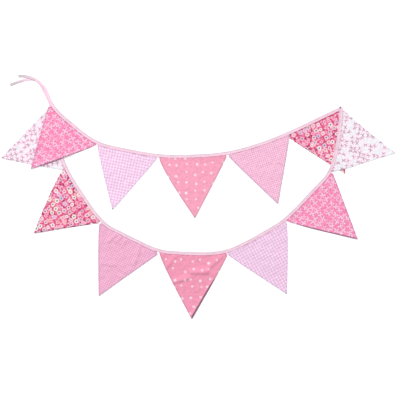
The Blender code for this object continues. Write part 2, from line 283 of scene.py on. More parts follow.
CREASES = (
    Crease("pennant_09_dots", -13.0, -210.0, 27.0, -211.0, 9.0, 5.0, 3.2),
    Crease("pennant_09_dots", -61.0, -237.0, -20.0, -225.0, 9.0, 4.0, 2.4),
    Crease("pennant_09_dots", 27.0, -204.0, 66.0, -169.0, 9.0, 4.5, 1.9),
    Crease("pennant_09_dots", -82.0, -195.0, -61.0, -168.0, 8.0, 4.0, 1.8),
    Crease("pennant_10_check", -239.0, -122.0, -221.0, -103.0, 7.0, 3.0, 2.2),
    Crease("pennant_10_check", -221.0, -123.0, -204.0, -108.0, 7.0, 3.0, 2.0),
    Crease("pennant_10_check", -204.0, -134.0, -194.0, -114.0, 8.0, 3.5, 1.4),
    Crease("pennant_10_check", -172.0, -186.0, -158.0, -140.0, 9.0, 3.5, 1.7),
    Crease("pennant_10_check", -263.0, -186.0, -227.0, -191.0, 9.0, 3.5, 1.5),
)

# One row for each side of a pennant that curls: which side, where the curl starts and ends as
# shares of the way down, its width and height in millimetres, and how dark the painted shade on its
# turned edge is
Curl = collections.namedtuple("Curl", "pennant side start end width height dark")

CURLS = (
    Curl("pennant_09_dots", "first", 0.32, 1.03, 15.0, 1.4, 1.0),
    Curl("pennant_01_rose", "second", 0.05, 1.0, 12.0, 1.0, 0.3),
    Curl("pennant_07_rose", "second", 0.1, 1.02, 12.0, 1.2, 0.45),
    Curl("pennant_11_floral", "first", 0.1, 1.0, 12.0, 0.6, 0.25),
)

# What a pennant lies over: the run of tape and the pennant beneath it
Overlay = collections.namedtuple("Overlay", "upper run lower")

OVERLAYS = (
    Overlay("pennant_01_rose", "return", "pennant_12_white"),
    Overlay("pennant_06_white", None, "pennant_05_floral"),
)


def colour(name, about, red, green, blue):
    """A colour that a user may change, in linear light."""
    return FloatVectorProperty(name=name, description=about, default=(red, green, blue, 1.0),
                               size=4, subtype="COLOR", min=0.0, max=1.0)


def length(name, about, millimetres):
    """A size that a user may change, in metres."""
    return FloatProperty(name=name, description=about, default=millimetres * MM,
                         min=0.0, precision=5, subtype="DISTANCE", unit="LENGTH")


class ClothSizes(bpy.types.PropertyGroup):
    """Sizes of the sewn cloth"""

    pennant_thick: length("Pennant thickness", "Two layers of pressed cotton", 0.9)
    allowance: length("Seam allowance", "Width of the allowance turned inside each side", 6.0)
    allowance_rise: length("Allowance rise", "How far the allowance lifts the face", 0.22)
    unevenness: length("Unevenness", "How far the cloth lies off the surface", 1.1)
    pucker: length("Pucker", "How far the seam gathers the cloth below the tape", 0.7)
    tape_width: length("Tape width", "Width of the folded tape", 9.5)
    tape_layer: length("Tape layer", "Thickness of each side of the folded tape", 0.5)
    tie_width: length("Tie width", "Width of the tape where it is folded into a tie", 8.0)
    spare: length("Spare", "Clearance between layers of cloth", 0.05)
    lie_gap: length("Lie gap", "Gap under cloth that lies on other cloth", 0.4)
    stitch: length("Stitch", "Length of one stitch", 2.3)
    stitch_gap: length("Stitch gap", "Gap between two stitches", 0.6)
    stitch_inset: length("Stitch inset", "From the mouth of the tape to the stitches", 1.8)
    thread: length("Thread", "Thickness of the sewing thread", 0.35)


class PrintSizes(bpy.types.PropertyGroup):
    """Sizes of the weaves and prints"""

    thread_pitch: length("Thread pitch", "From one yarn of the cloth to the next", 0.42)
    gingham_square: length("Gingham square", "Side of one square of the pale gingham", 4.0)
    fine_square: length("Fine square", "Side of one square of the fine check", 2.9)
    bow_pitch: length("Bow pitch", "From one bow of the rose cloth to the next", 15.5)
    bow_half: length("Bow half length", "Half the length of a bow on the rose cloth", 6.8)
    small_bow_pitch: length("Small bow pitch", "From one bow of the white cloth to the next",
                            13.2)
    small_bow_half: length("Small bow half length", "Half the length of a bow on the white cloth",
                           6.8)
    dot_pitch: length("Dot pitch", "From one large dot to the next", 24.5)
    dot_radius: length("Dot radius", "Radius of a large dot", 4.2)
    flower_pitch: length("Flower pitch", "From one printed flower to the next", 15.0)
    flower_radius: length("Flower radius", "Radius of a printed flower", 7.0)
    blossom_pitch: length("Blossom pitch", "From one small blossom to the next", 8.5)
    blossom_radius: length("Blossom radius", "Radius of a small blossom", 3.3)


class PrintColours(bpy.types.PropertyGroup):
    """Colours of the cloths"""

    rose: colour("Rose", "Ground of the rose cloth", 0.85, 0.22, 0.42)
    rose_cloud: colour("Rose cloud", "Paler patches of the rose cloth", 0.86, 0.38, 0.56)
    gingham_white: colour("Gingham white", "White squares of the gingham", 0.85, 0.71, 0.83)
    gingham_pink: colour("Gingham pink", "Pink squares of the gingham", 0.76, 0.44, 0.68)
    dots: colour("Dots ground", "Ground of the dotted cloth", 0.82, 0.325, 0.45)
    dot: colour("Dot", "Dots of the dotted cloth", 0.87, 0.70, 0.77)
    check_white: colour("Check white", "White squares of the fine check", 0.84, 0.57, 0.71)
    check_pink: colour("Check pink", "Pink squares of the fine check", 0.76, 0.32, 0.49)
    crimson: colour("Crimson", "Ground of the floral cloth", 0.66, 0.08, 0.19)
    white: colour("White", "Ground of the white cloth", 0.85, 0.79, 0.84)
    tape: colour("Tape", "The folded tape", 0.85, 0.575, 0.69)
    thread: colour("Thread", "The sewing thread", 0.84, 0.62, 0.70)
    # Painted shade: a pennant's pressed edges and tip, the tape's spine and free ends, the cloth
    # that is shaded deeper, and turned sides, the fold and the cloth just below the tape are tinted
    # towards these
    edge: colour("Pressed edge", "Tint of a pennant's pressed edges and tip",
                 0.52, 0.84, 0.76)
    tape_edge_shade: colour("Tape edge", "Tint of the tape's spine and of its free ends",
                      0.60, 0.80, 0.72)
    deeper: colour("Deeper", "Tint of the cloth whose colours are deeper", 0.97, 0.88, 0.93)
    turned: colour("Turned edge", "What turned sides darken towards", 0.16, 0.07, 0.13)


class StageSettings(bpy.types.PropertyGroup):
    """The floor, the light and the camera"""

    view_width: length("View width", "Width of the floor that the camera sees", 1108.0)
    view_x: FloatProperty(name="View X", description="Middle of the view along X",
                          default=5.25 * MM, precision=5, subtype="DISTANCE", unit="LENGTH")
    view_y: FloatProperty(name="View Y", description="Middle of the view along Y",
                          default=-9.57 * MM, precision=5, subtype="DISTANCE", unit="LENGTH")
    lens: FloatProperty(name="Lens", description="Focal length of the camera",
                        default=85.0, min=1.0, subtype="DISTANCE_CAMERA")
    room_light: FloatProperty(name="Room light", description="Strength of the even light",
                              default=0.60, min=0.0)
    key_light: FloatProperty(name="Key light", description="Power of the soft key light",
                             default=382.0, min=0.0, unit="POWER")
    floor: colour("Floor", "The plain pale floor", 0.93, 0.93, 0.93)
    floor_glow: FloatProperty(name="Floor glow", description="Light from within the floor",
                              default=0.30, min=0.0)


def eased(share):
    share = min(max(share, 0.0), 1.0)
    return share * share * (3.0 - 2.0 * share)


def mixed(first, second, share):
    return first + (second - first) * share


def placed(x, y):
    """A place of the layout tables, in metres about the origin."""
    return Vector(((x - MIDDLE_X) * MM, (y - MIDDLE_Y) * MM, 0.0))


class Run:
    """A smooth line through stops, read by the length along it."""

    def __init__(self, stops, hand, heights):
        self.hand = hand
        places = [placed(stop.x, stop.y) for stop in stops]
        points = [places[0]]
        rises = [heights[stops[0].lies_on]]
        for index in range(len(places) - 1):
            here, there = heights[stops[index].lies_on], heights[stops[index + 1].lies_on]
            for step in range(1, SPLINE_STEPS + 1):
                share = step / SPLINE_STEPS
                points.append(self.between(places, index, share))
                rises.append(mixed(here, there, eased(share)))
        lengths = [0.0]
        for first, second in zip(points, points[1:]):
            lengths.append(lengths[-1] + (second - first).length)
        self.lengths = np.array(lengths)
        self.points = np.array([tuple(point) for point in points])
        self.rises = np.array(rises)
        self.length = lengths[-1]

    @staticmethod
    def between(places, index, share):
        """The point this far between two places, on a cubic with chord-length tangents."""
        here, there = places[index], places[index + 1]
        chord = (there - here).length
        slopes = []
        for middle in (index, index + 1):
            before = places[max(middle - 1, 0)]
            after = places[min(middle + 1, len(places) - 1)]
            at = places[middle]
            back, ahead = (at - before).length, (after - at).length
            if back == 0.0 or ahead == 0.0:
                slopes.append((after - before).normalized())
            else:
                slopes.append(((at - before) * ahead / back + (after - at) * back / ahead)
                              / (back + ahead))
        s2, s3 = share * share, share * share * share
        return (
            here * (2 * s3 - 3 * s2 + 1)
            + slopes[0] * chord * (s3 - 2 * s2 + share)
            + there * (3 * s2 - 2 * s3)
            + slopes[1] * chord * (s3 - s2)
        )

    def at(self, along):
        x = np.interp(along, self.lengths, self.points[:, 0])
        y = np.interp(along, self.lengths, self.points[:, 1])
        return Vector((x, y, 0.0))

    def rise(self, along):
        return float(np.interp(along, self.lengths, self.rises))

    def way(self, along):
        ahead = self.at(min(along + TANGENT_REACH, self.length))
        back = self.at(max(along - TANGENT_REACH, 0.0))
        return (ahead - back).normalized()

    def side(self, along):
        """Unit vector across the tape, towards its mouth."""
        way = self.way(along)
        return Vector((-way.y, way.x, 0.0)) * self.hand


class Layout:
    """Where the tape and the pennants lie, for the cloth's sizes."""

    def __init__(self, sizes):
        self.sizes = sizes
        self.slot = sizes.pennant_thick + sizes.allowance_rise + 2 * sizes.spare
        self.tie_slot = 2 * sizes.spare
        self.thick = 2 * sizes.tape_layer + self.slot
        self.tie_thick = 2 * sizes.tape_layer + self.tie_slot
        self.over_pennant = sizes.pennant_thick + sizes.allowance_rise + sizes.lie_gap
        heights = {
            FLOOR: 0.0,
            TIE: self.tie_thick + sizes.lie_gap,
            TAPE: self.thick + sizes.lie_gap,
            FOLD: self.thick + sizes.lie_gap,
            PENNANT: self.over_pennant,
        }
        self.runs = {
            "outward": Run(OUTWARD_RUN, -1.0, heights),
            "return": Run(RETURN_RUN, 1.0, heights),
        }

    def ends_of(self, pennant):
        """Lengths along its run at which a pennant's seam starts and ends."""
        return pennant.start * MM, (pennant.start + pennant.width) * MM

    def seam_reach(self, name):
        """Lengths along a run from its first pennant's start to its last one's end."""
        ends = [self.ends_of(pennant) for pennant in PENNANTS if pennant.run == name]
        return ends[0][0], ends[-1][1]

    def half_width(self, share):
        """Half the tape's width where it is this far open."""
        return mixed(self.sizes.tie_width, self.sizes.tape_width, share) / 2

    def thickness(self, share):
        """The folded tape's thickness where it is this far open."""
        return mixed(self.tie_thick, self.thick, share)

    def open_share(self, name, along):
        """1 where the tape is open for the pennants, 0 where it is folded into a tie."""
        first, last = self.seam_reach(name)
        into_tie = first - along if name == "outward" else along - last
        return 1.0 - eased(into_tie / TIE_BLEND)


def distance_to_segment(point, first, second):
    along = second - first
    share = (point - first).dot(along) / along.length_squared
    return (point - first - along * min(max(share, 0.0), 1.0)).length


def distance_to_pennant(layout, point, pennant):
    """Distance from a pennant's outline, zero over the pennant."""
    run = layout.runs[pennant.run]
    start, end = layout.ends_of(pennant)
    corners = [run.at(start), run.at(end), placed(pennant.tip_x, pennant.tip_y)]
    turns = []
    for first, second in zip(corners, corners[1:] + corners[:1]):
        turns.append((second - first).cross(point - first).z)
    if min(turns) >= 0.0 or max(turns) <= 0.0:
        return 0.0
    sides = zip(corners, corners[1:] + corners[:1])
    return min(distance_to_segment(point, first, second) for first, second in sides)


def distance_to_run(layout, point, name):
    """Distance from the nearer edge of a run of tape, zero over the tape."""
    run = layout.runs[name]
    nearest = np.hypot(run.points[:, 0] - point.x, run.points[:, 1] - point.y).min()
    return max(nearest - layout.sizes.tape_width / 2, 0.0)


def lift_over(distance, height):
    """How high cloth lies at this distance from something of this height beneath it."""
    return height * (1.0 - eased((distance - OVER_MARGIN) / OVER_RUN))


def crease_height(crease, point):
    """How far a crease lifts the cloth."""
    first = placed(crease.x0, crease.y0)
    second = placed(crease.x1, crease.y1)
    along = (second - first).normalized()
    reach = (point - first).dot(along)
    beyond = reach - min(max(reach, 0.0), (second - first).length)
    across = along.cross(point - first).z
    width = (crease.gentle if across > 0.0 else crease.steep) * MM
    away = (across / width) ** 2 + (beyond / (crease.gentle * MM)) ** 2
    return crease.height * MM * math.exp(-away)


def resting_height(layout, pennant, point, down):
    """How high the pennant's underside lies, away from its seam."""
    height = 0.0
    for overlay in OVERLAYS:
        if overlay.upper != pennant.name:
            continue
        lower = next(other for other in PENNANTS if other.name == overlay.lower)
        below = distance_to_pennant(layout, point, lower)
        height = max(height, lift_over(below, layout.over_pennant))
        if overlay.run:
            tape = distance_to_run(layout, point, overlay.run)
            height = max(height, lift_over(tape, layout.thick + layout.sizes.lie_gap))
    tip_share = (down - TIP_RISE_FROM) / (1.0 - TIP_RISE_FROM)
    return height + pennant.tip_rise * MM * eased(tip_share)


def curl_height(pennant, down, from_first, from_second):
    """How far a curled side lifts the cloth, at these distances from the pennant's sides."""
    height = 0.0
    for curl in CURLS:
        if curl.pennant != pennant.name:
            continue
        from_side = from_first if curl.side == "first" else from_second
        across = min(from_side / (curl.width * MM), 1.0)
        height += (curl.height * MM * curl_window(curl, down) * CURL_PEAK * across
                   * (1.0 - across) ** 2)
    return height


def curl_window(curl, down):
    """How much of a curl there is at this share of the way down."""
    return eased((down - curl.start) * CURL_IN) * eased((curl.end - down) * CURL_OUT)


def turned_edge_shade(pennant, share, down):
    """How dark the painted shade on the turned edge of the nearer side is."""
    dark = 0.0
    for curl in CURLS:
        nearer = "first" if share < 0.5 else "second"
        if curl.pennant == pennant.name and curl.side == nearer:
            dark = max(dark, curl.dark * curl_window(curl, down))
    return dark


def noise_at(x, y, z):
    """Smooth random numbers about 0."""
    return noise.noise(Vector((x, y, z)))


def unevenness(point, seed):
    """Soft, random unevenness from 0 to about 1, at two sizes."""
    broad = noise_at(point.x * BROAD_WAVES, point.y * BROAD_WAVES, seed)
    narrow = noise_at(point.x * NARROW_WAVES, point.y * NARROW_WAVES, seed + NARROW_PLACE)
    return max(0.5 + BROAD_SHARE * broad + NARROW_SHARE * narrow, 0.0)


def edge_shares(width):
    """Shares of the way across a row of this width, close together along both sides."""
    squeeze = min(1.0, width / 2 / (EDGE_MARKS_REACH * MM))
    near = [mark * MM * squeeze for mark in EDGE_MARKS]
    start, end = near[-1], width - near[-1]
    inner = [mixed(start, end, index / INNER_COLUMNS) for index in range(1, INNER_COLUMNS)]
    far = [width - mark for mark in reversed(near)]
    return [mark / width for mark in near + inner + far]


def rounded(distance, radius):
    """Height of a rounded edge, from 0 at the edge to 1 once past the radius."""
    short = 1.0 - min(max(distance / radius, 0.0), 1.0)
    return math.sqrt(1.0 - short * short)


def side_shares(down, reach):
    """How much of a side's spread and of its bow shows at this share of its length."""
    spread = (1.0 - down) * eased(down * reach / SPREAD_REACH)
    skewed = down ** BOW_SKEW
    return spread, 4.0 * skewed * (1.0 - skewed)


class Net:
    """Rows of vertices with their grain and edge coordinates, made into one closed mesh."""

    def __init__(self):
        self.shape = bmesh.new()
        self.maps = {}

    def vertex(self, point, grain, edge, turn=(0.0, FAR_OFF)):
        made = self.shape.verts.new(point)
        self.maps[made] = (grain, edge, turn)
        return made

    def surface(self, rows, flipped=False):
        """Faces between rows of equally many vertices."""
        for row, following in zip(rows, rows[1:]):
            for index in range(len(row) - 1):
                corners = (row[index], row[index + 1], following[index + 1], following[index])
                self.shape.faces.new(corners[::-1] if flipped else corners)

    def tube(self, rings):
        """Faces round closed rings of equally many vertices, with a cap at each end."""
        self.surface([ring + ring[:1] for ring in rings])
        self.shape.faces.new(rings[0][::-1])
        self.shape.faces.new(rings[-1])

    def finished(self, name, material):
        """The net as an object with smooth faces, outward normals and its UV maps."""
        names = (GRAIN_MAP, EDGE_MAP, SHADE_MAP)
        layers = [self.shape.loops.layers.uv.new(name) for name in names]
        for face in self.shape.faces:
            face.smooth = True
            for loop in face.loops:
                for layer, place in zip(layers, self.maps[loop.vert]):
                    loop[layer].uv = place
        bmesh.ops.recalc_face_normals(self.shape, faces=self.shape.faces)
        mesh = bpy.data.meshes.new(name)
        self.shape.to_mesh(mesh)
        self.shape.free()
        mesh.materials.append(material)
        made = bpy.data.objects.new(name, mesh)
        bpy.context.scene.collection.objects.link(made)
        return made


class Sewing:
    """One pennant's cloth, worked out row by row from the tape to the tip."""

    def __init__(self, layout, pennant):
        self.layout = layout
        self.pennant = pennant
        self.run = layout.runs[pennant.run]
        self.start, self.end = layout.ends_of(pennant)
        self.tip = placed(pennant.tip_x, pennant.tip_y)
        first, last = self.run.at(self.start), self.run.at(self.end)
        self.along = (last - first).normalized()
        self.middle = (first + last) / 2
        self.down_way = Vector((-self.along.y, self.along.x, 0.0)) * self.run.hand
        self.mouth = layout.sizes.tape_width / 2
        self.seed = PENNANTS.index(pennant) * PENNANT_PLACE

    def seam_point(self, share, across):
        mark = mixed(self.start, self.end, share)
        slot_floor = self.run.rise(mark) + self.layout.sizes.tape_layer + self.layout.sizes.spare
        return self.run.at(mark) + self.run.side(mark) * across + UP * slot_floor

    def spot(self, share, down):
        """A place of the flat outline and the height of its seam."""
        top = self.seam_point(share, self.mouth)
        foot = self.tip + self.along * TIP_WIDTH * (share - 0.5)
        reach = (foot - top).length
        point = Vector((mixed(top.x, foot.x, down), mixed(top.y, foot.y, down), 0.0))
        spread, bow = side_shares(down, reach)
        first = self.pennant.first_spread * spread + self.pennant.first_bow * bow
        second = self.pennant.second_spread * spread + self.pennant.second_bow * bow
        point += self.along * mixed(-first, second, share) * MM
        return point, top.z, reach

    def grain_of(self, point):
        """The cloth's own coordinates, square with its seam, apart for each pennant."""
        offset = point - self.middle
        return (offset.dot(self.along) + self.seed, offset.dot(self.down_way) + self.seed / 2)

    def underside(self, share, down, width):
        """Height of the cloth's underside below the tape."""
        sizes = self.layout.sizes
        point, seam_height, reach = self.spot(share, down)
        below = down * reach
        rest = resting_height(self.layout, self.pennant, point, down)
        rest += curl_height(self.pennant, down, share * width, (1.0 - share) * width)
        uneven = unevenness(point, self.seed) * sizes.unevenness * self.pennant.uneven
        height = mixed(seam_height, rest + uneven, eased(below / SEAM_DROP_RUN))
        creased = sum(crease_height(crease, point) for crease in CREASES
                      if crease.pennant == self.pennant.name)
        height += creased * eased(below / CREASE_FADE)
        gather = noise_at(share * width * PUCKER_WAVES, self.seed, below * PUCKER_WAVES_DOWN)
        fade = eased(below / PUCKER_FULL) * (1.0 - eased(below / PUCKER_GONE))
        height += (0.5 + gather) * sizes.pucker * fade * self.pennant.uneven
        return max(height, 0.0)

    def faces_at(self, height, from_side, from_tip):
        """Heights of the lower and the upper face, which meet at a rounded edge."""
        sizes = self.layout.sizes
        half = sizes.pennant_thick / 2
        from_edge = min(from_side, from_tip)
        round_share = rounded(from_edge, half)
        past_step = (from_edge - sizes.allowance * STEP_FROM) / (sizes.allowance * STEP_OVER)
        lift = sizes.allowance_rise * (1.0 - eased(past_step)) * min(from_edge / PRESSED_FLAT, 1.0)
        middle = height + half
        return middle - half * round_share, middle + half * round_share + lift

    def build(self, material):
        """The cloth as one closed piece: the rows in the tape, then those down to the tip."""
        net = Net()
        lower_rows, upper_rows = [], []
        for row in range(INSERT_ROWS + PENNANT_ROWS + 1):
            lower, upper = [], []
            into_tape = row < INSERT_ROWS
            down = 0.0 if into_tape else ((row - INSERT_ROWS) / PENNANT_ROWS) ** ROW_CROWDING
            first = self.spot(0.0, down)[0]
            last, _, reach = self.spot(1.0, down)
            width = (last - first).length
            from_tip = (1.0 - down) * reach
            for share in edge_shares(width):
                if into_tape:
                    across = self.mouth - SEAM_DEPTH * (1.0 - row / INSERT_ROWS)
                    point = self.seam_point(share, across)
                    height = point.z
                else:
                    point = self.spot(share, down)[0]
                    height = self.underside(share, down, width)
                from_side = min(share, 1.0 - share) * width
                low, high = self.faces_at(height, from_side, from_tip)
                grain = self.grain_of(point)
                edge = (min(from_side, from_tip), from_tip)
                # The painted shade of a turned side, and the distance below the tape's mouth, where
                # painted shade lies
                turn = (turned_edge_shade(self.pennant, share, down), down * reach)
                lower.append(net.vertex((point.x, point.y, low), grain, edge, turn))
                upper.append(net.vertex((point.x, point.y, high), grain, edge, turn))
            lower_rows.append(lower)
            upper_rows.append(upper)
        net.surface(lower_rows, flipped=True)
        net.surface(upper_rows)
        net.surface([lower_rows[0], upper_rows[0]])
        welds = dict(zip(self.rim(upper_rows), self.rim(lower_rows)))
        bmesh.ops.weld_verts(net.shape, targetmap=welds)
        return net.finished(self.pennant.name + "_cloth", material)

    @staticmethod
    def rim(rows):
        """The vertices down both sides and across the tip."""
        return [row[0] for row in rows] + [row[-1] for row in rows] + rows[-1]


def tape_section(layout, share):
    """Points (across, up, unfolded) round the folded tape, from its lower mouth edge."""
    half = layout.half_width(share)
    slot = mixed(layout.tie_slot, layout.slot, share) / 2
    layer = layout.sizes.tape_layer
    face = slot + layer
    lip = layer / 2
    spine = min(SPINE_REACH, face)
    seam = half - layout.sizes.stitch_inset
    outer = [
        (half - lip, face),
        (seam + DRAWN_REACH, face),
        (seam, face - DRAWN_IN * layer * share),
        (seam - DRAWN_REACH, face),
        (0.0, face + SWELL * layer),
        (-half + spine, face),
    ]
    points = [(across, -up) for across, up in outer]
    for step in range(1, ARC_STEPS):
        turn = math.pi * step / ARC_STEPS
        points.append((-half + spine - spine * math.sin(turn), -face * math.cos(turn)))
    points += outer[::-1]
    points += [
        (half, slot + lip),
        (half - lip, slot),
        (seam, slot),
        (-half + layer + lip, slot),
        (-half + layer, 0.0),
        (-half + layer + lip, -slot),
        (seam, -slot),
        (half - lip, -slot),
        (half, -slot - lip),
    ]
    unfolded = [0.0]
    for first, second in zip(points, points[1:]):
        unfolded.append(unfolded[-1] + math.hypot(second[0] - first[0], second[1] - first[1]))
    return [(across, up, far, half) for (across, up), far in zip(points, unfolded)]


# One ring of the tape: its middle, the way across it, its up, how far it is open, and how far it
# is along the whole tape
Ring = collections.namedtuple("Ring", "centre side normal share along")


def even_marks(start, end, step):
    """Even marks from start to end, no further apart than the step."""
    count = max(1, math.ceil((end - start) / step))
    return [mixed(start, end, index / count) for index in range(count + 1)]


def run_ring(layout, name, mark, normal):
    """The ring of a run of tape at this length along it."""
    run = layout.runs[name]
    share = layout.open_share(name, mark)
    sway = SWAY * noise_at(mark * SWAY_WAVES, run.hand * SWAY_APART, SWAY_LEVEL)
    height = run.rise(mark) + layout.thickness(share) / 2
    centre = run.at(mark) + run.side(mark) * sway + UP * height
    before = layout.runs["outward"].length if name == "return" else 0.0
    return Ring(centre, run.side(mark), normal, share, before + mark)


def fold_rings(layout):
    """Rings round the fold, each in line with the crease, which the tape crosses aslant."""
    outward, back = layout.runs["outward"], layout.runs["return"]
    corner = outward.at(outward.length)
    way = outward.way(outward.length)
    crease = (way + back.way(0.0)).normalized()
    onward = (way - crease * way.dot(crease)).normalized()
    side = crease / abs(crease.dot(outward.side(outward.length)))
    axis_height = layout.thick + layout.sizes.lie_gap / 2
    radius = axis_height - layout.thick / 2
    rings = []
    for step in range(FOLD_STEPS + 1):
        turn = math.pi * step / FOLD_STEPS
        outwards = onward * math.sin(turn) - UP * math.cos(turn)
        centre = corner + UP * axis_height + outwards * radius
        rings.append(Ring(centre, side, -outwards, 1.0, outward.length))
    return rings


def tape_rings(layout):
    """Every ring of the tape, from the free end of one tie to that of the other."""
    outward_end = layout.seam_reach("outward")[1]
    return_start = layout.seam_reach("return")[0]
    return_end = layout.runs["return"].length
    rings = [run_ring(layout, "outward", mark, UP)
             for mark in even_marks(0.0, outward_end, TAPE_STEP)]
    rings += fold_rings(layout)
    rings += [run_ring(layout, "return", mark, -UP)
              for mark in even_marks(return_start, return_end, TAPE_STEP)]
    return rings


def build_tape(layout, material):
    """The folded tape as one closed piece."""
    net = Net()
    rings = tape_rings(layout)
    whole = rings[-1].along
    corner = layout.runs["outward"].length
    rows = []
    for ring in rings:
        row = []
        from_end = min(ring.along, whole - ring.along)
        at_fold = 1.0 - eased(abs(ring.along - corner) / FOLD_REACH)
        for across, up, unfolded, half in tape_section(layout, ring.share):
            point = ring.centre + ring.side * across + ring.normal * up
            from_spine = across + half
            from_side = mixed(TIE_PLAIN, from_spine, ring.share)
            # A tie takes no painted shade line along its spine; the fold's corner takes painted
            # shade
            row.append(net.vertex(point, (ring.along, unfolded), (from_side, from_end),
                                  (FOLD_SHADE * at_fold, FAR_OFF)))
        rows.append(row)
    net.tube(rows)
    return net.finished("tape_cloth", material)


def add_stitch(net, start, end, side, lift, thick):
    """One rounded stitch of thread, sunk at both ends."""
    rows = []
    for ring in STITCH_RINGS:
        centre = start + (end - start) * ring.along + lift * thick * ring.rise
        row = []
        for step in range(THREAD_SIDES):
            turn = FULL_TURN * step / THREAD_SIDES
            offset = side * math.cos(turn) + lift * math.sin(turn) * THREAD_FLAT
            point = centre + offset * thick / 2 * ring.girth
            row.append(net.vertex(point, (ring.along, turn), (FAR_OFF, FAR_OFF)))
        rows.append(row)
    net.tube(rows)


def build_stitching(layout, material):
    """The row of stitches along the tape's mouth, on both faces, joined into one piece."""
    sizes = layout.sizes
    net = Net()
    pitch = sizes.stitch + sizes.stitch_gap
    for name, run in layout.runs.items():
        for mark in np.arange(pitch, run.length - pitch, pitch):
            share = layout.open_share(name, mark)
            seam = layout.half_width(share) - sizes.stitch_inset
            face = layout.thickness(share) / 2
            dip = DRAWN_IN * sizes.tape_layer * share
            rings = [run_ring(layout, name, along, UP) for along in (mark, mark + sizes.stitch)]
            for lift, sunk in ((UP, dip), (-UP, max(dip, UNDER_SUNK * sizes.thread))):
                start, end = (ring.centre + ring.side * seam + lift * (face - sunk)
                              for ring in rings)
                add_stitch(net, start, end, run.side(mark), lift, sizes.thread)
    return net.finished("tape_stitching", material)


class Graph:
    """Adds nodes to one tree and links them."""

    def __init__(self, tree):
        self.tree = tree

    def put(self, socket, value):
        """Links a socket to another, or gives it a value."""
        if isinstance(value, bpy.types.NodeSocket):
            self.tree.links.new(value, socket)
        else:
            socket.default_value = value

    def add(self, kind, inputs=None, **settings):
        node = self.tree.nodes.new(kind)
        for name, value in settings.items():
            setattr(node, name, value)
        self.fill(node, inputs or {})
        return node

    def fill(self, node, inputs):
        """Links or sets a node's inputs by their names."""
        for name, value in inputs.items():
            self.put(node.inputs[name], value)

    def maths(self, operation, *values):
        node = self.add("ShaderNodeMath", operation=operation)
        for socket, value in zip(node.inputs, values):
            self.put(socket, value)
        return node.outputs[0]

    def largest(self, first, *others):
        """The largest of some numbers."""
        for other in others:
            first = self.maths("MAXIMUM", first, other)
        return first

    def vectors(self, operation, first, second):
        node = self.add("ShaderNodeVectorMath", operation=operation)
        self.put(node.inputs[0], first)
        self.put(node.inputs[1], second)
        return node.outputs["Vector"]

    def scaled(self, vector, factor):
        node = self.add("ShaderNodeVectorMath", {"Vector": vector, "Scale": factor},
                        operation="SCALE")
        return node.outputs["Vector"]

    def distance(self, vector):
        node = self.add("ShaderNodeVectorMath", {"Vector": vector}, operation="LENGTH")
        return node.outputs["Value"]

    def coordinates(self, name):
        """One of the cloth's UV maps."""
        return self.add("ShaderNodeUVMap", uv_map=name).outputs["UV"]

    def patches(self, vector, scale, detail, dimensions="2D"):
        """Random soft patches, from 0 to 1."""
        node = self.add("ShaderNodeTexNoise", {"Vector": vector, "Scale": scale,
                                               "Detail": detail}, noise_dimensions=dimensions)
        return node.outputs["Fac"]

    def parts(self, vector):
        node = self.add("ShaderNodeSeparateXYZ", {"Vector": vector})
        return node.outputs["X"], node.outputs["Y"]

    def softened(self, value, low, high, at_low, at_high):
        """A smooth step from one number to another."""
        node = self.add(
            "ShaderNodeMapRange",
            {"Value": value, "From Min": low, "From Max": high, "To Min": at_low,
             "To Max": at_high},
            interpolation_type="SMOOTHSTEP",
        )
        return node.outputs["Result"]

    def blend(self, share, first, second, kind="MIX"):
        """One colour mixed with another."""
        node = self.add("ShaderNodeMix", data_type="RGBA", blend_type=kind)
        for index, value in ((0, share), (6, first), (7, second)):
            self.put(node.inputs[index], value)
        return node.outputs[2]

    def group(self, name, inputs):
        """The outputs of a shared node group, which is built once."""
        tree = bpy.data.node_groups.get(name) or GROUPS[name]()
        return self.add("ShaderNodeGroup", inputs, node_tree=tree).outputs

    def scattered(self, grain, pitch, looseness):
        """Where each spot is from its own scattered mark, and the mark's two random picks."""
        return self.group("scattered_marks",
                          {"Grain": grain, "Pitch": pitch, "Looseness": looseness})


def new_group(name, vectors, numbers, results, pointing=()):
    """A shader node group with named sockets, as a graph and its two ends.

    Its inputs are vectors and numbers. Its results are numbers, but for those that are pointing.
    """
    tree = bpy.data.node_groups.new(name, "ShaderNodeTree")
    for labels, way, kind in (
        (vectors, "INPUT", "NodeSocketVector"),
        (numbers, "INPUT", "NodeSocketFloat"),
        (pointing, "OUTPUT", "NodeSocketVector"),
        (results, "OUTPUT", "NodeSocketFloat"),
    ):
        for label in labels:
            tree.interface.new_socket(label, in_out=way, socket_type=kind)
    graph = Graph(tree)
    entry = graph.add("NodeGroupInput")
    leave = graph.add("NodeGroupOutput")
    return graph, entry.outputs, leave.inputs


# The weave: how high its yarns stand and how much lighter they are painted there, as painted light
# on the yarns' crowns and painted shade between them, then the scales and amounts of its soft
# crumple, its uneven tone and its slubs
WEAVE_HEIGHT = 0.035 * MM
WEAVE_LIGHT = 0.05
WEAVE_BASE = 0.85
CRUMPLE_SCALE = 70.0
CRUMPLE_HEIGHT = 2.0 * MM
TONE_SCALE = 110.0
TONE_LIGHT = 0.16
SLUB_SCALE = 420.0
SLUB_LIGHT = 0.10


